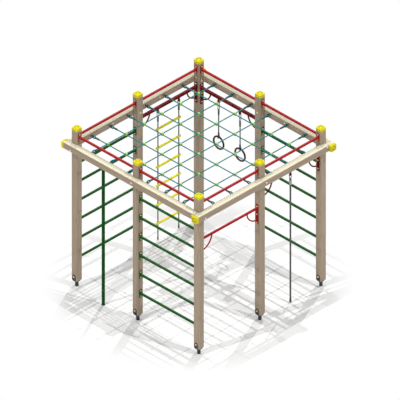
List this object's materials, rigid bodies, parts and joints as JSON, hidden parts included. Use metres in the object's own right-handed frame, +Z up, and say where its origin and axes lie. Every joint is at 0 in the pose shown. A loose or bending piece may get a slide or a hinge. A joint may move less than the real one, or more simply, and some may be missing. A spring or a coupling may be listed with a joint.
{
  "type": "play gym",
  "caption": "Square timber climbing frame on posts with guard rails, wall bars, a roof net, rope ladder, gymnastic rings, climbing rope, pull-up bar and sliding pole.",
  "frame": {"origin": "on the ground, in the middle of the square that the posts and beams make", "axes": "+Z up; -Y is the front side, with the sliding pole; +X is the right side, with the pull-up bar and the climbing rope"},
  "size_m": [2.615, 2.615, 2.518],
  "materials": {
    "laminated_timber": "oiled, laminated in thin layers",
    "yellow_plastic": "moulded, glossy",
    "black_steel": "powder coated",
    "red_enamel": "powder coated, glossy",
    "dark_red_enamel": "powder coated, glossy",
    "green_enamel": "powder coated, glossy",
    "pale_plastic": "moulded",
    "dark_steel": "galvanised, dull",
    "net_fibre": "laid rope",
    "lime_plastic": "moulded",
    "dark_rope": "laid rope",
    "rung_plastic": "moulded",
    "grey_rope": "laid rope",
    "maroon_grip": "coated, dull"
  },
  "bodies": {
    "frame": {"post_front_left": "laminated_timber", "post_front_middle": "laminated_timber", "post_front_right": "laminated_timber", "post_right_middle": "laminated_timber", "post_back_right": "laminated_timber", "post_back_middle": "laminated_timber", "post_back_left": "laminated_timber", "post_left_middle": "laminated_timber", "beam_front": "laminated_timber", "beam_right": "laminated_timber", "beam_back": "laminated_timber", "beam_left": "laminated_timber", "guard_rails_front": "red_enamel", "guard_rails_right": "red_enamel", "guard_rails_back": "red_enamel", "guard_rails_left": "red_enamel", "wall_bar_front_1": "green_enamel", "wall_bar_front_2": "green_enamel", "wall_bar_front_3": "green_enamel", "wall_bar_front_4": "green_enamel", "wall_bar_front_5": "green_enamel", "wall_bar_front_6": "green_enamel", "wall_bar_back_1": "green_enamel", "wall_bar_back_2": "green_enamel", "wall_bar_back_3": "green_enamel", "wall_bar_back_4": "green_enamel", "wall_bar_back_5": "green_enamel", "wall_bar_back_6": "green_enamel", "wall_bar_left_1": "green_enamel", "wall_bar_left_2": "green_enamel", "wall_bar_left_3": "green_enamel", "wall_bar_left_4": "green_enamel", "wall_bar_left_5": "green_enamel", "wall_bar_left_6": "green_enamel", "ladder_bar": "dark_red_enamel", "ring_bar": "dark_red_enamel", "rope_bar": "dark_red_enamel", "pull_up_bar": "red_enamel", "sliding_pole": "green_enamel", "roof_net": "net_fibre"},
    "ring_1_hanger": {"ring_shackle_1": "dark_steel"},
    "ring_1_line": {"ring_rope_1": "dark_rope"},
    "ring_1_grip": {"gym_ring_1": "maroon_grip"},
    "ring_2_hanger": {"ring_shackle_2": "dark_steel"},
    "ring_2_line": {"ring_rope_2": "dark_rope"},
    "ring_2_grip": {"gym_ring_2": "maroon_grip"},
    "ladder": {"ladder_hanger_back": "dark_steel", "ladder_hanger_front": "dark_steel", "ladder_rope_back": "dark_rope", "ladder_rope_front": "dark_rope", "ladder_rung_1": "rung_plastic", "ladder_rung_2": "rung_plastic", "ladder_rung_3": "rung_plastic", "ladder_rung_4": "rung_plastic", "ladder_rung_5": "rung_plastic", "ladder_rung_6": "rung_plastic"},
    "rope_hanger": {"rope_shackle": "dark_steel"},
    "rope_line": {"rope_eye": "dark_steel", "climbing_rope": "grey_rope"}
  },
  "joints": [
    {"name": "ring_1_swing", "type": "hinge", "parent": "frame", "child": "ring_1_hanger", "pos_m": [-0.77, 1.14, 2.017], "axis": [1, 0, 0], "range_deg": [-60, 60]},
    {"name": "ring_1_sway", "type": "hinge", "parent": "ring_1_hanger", "child": "ring_1_line", "pos_m": [-0.77, 1.14, 1.958], "axis": [0, 1, 0], "range_deg": [-8, 8]},
    {"name": "ring_1_tilt", "type": "hinge", "parent": "ring_1_line", "child": "ring_1_grip", "pos_m": [-0.77, 1.14, 1.457], "axis": [1, 0, 0], "range_deg": [-60, 60]},
    {"name": "ring_2_swing", "type": "hinge", "parent": "frame", "child": "ring_2_hanger", "pos_m": [-0.37, 1.14, 2.017], "axis": [1, 0, 0], "range_deg": [-60, 60]},
    {"name": "ring_2_sway", "type": "hinge", "parent": "ring_2_hanger", "child": "ring_2_line", "pos_m": [-0.37, 1.14, 1.958], "axis": [0, 1, 0], "range_deg": [-8, 8]},
    {"name": "ring_2_tilt", "type": "hinge", "parent": "ring_2_line", "child": "ring_2_grip", "pos_m": [-0.37, 1.14, 1.457], "axis": [1, 0, 0], "range_deg": [-60, 60]},
    {"name": "ladder_swing", "type": "hinge", "parent": "frame", "child": "ladder", "pos_m": [-1.14, 0.57, 2.039], "axis": [0, -1, 0], "range_deg": [-45, 45]},
    {"name": "rope_swing", "type": "hinge", "parent": "frame", "child": "rope_hanger", "pos_m": [1.14, 0.57, 2.032], "axis": [0, -1, 0], "range_deg": [-45, 45]},
    {"name": "rope_sway", "type": "hinge", "parent": "rope_hanger", "child": "rope_line", "pos_m": [1.14, 0.57, 1.973], "axis": [1, 0, 0], "range_deg": [-12, 12]}
  ]
}
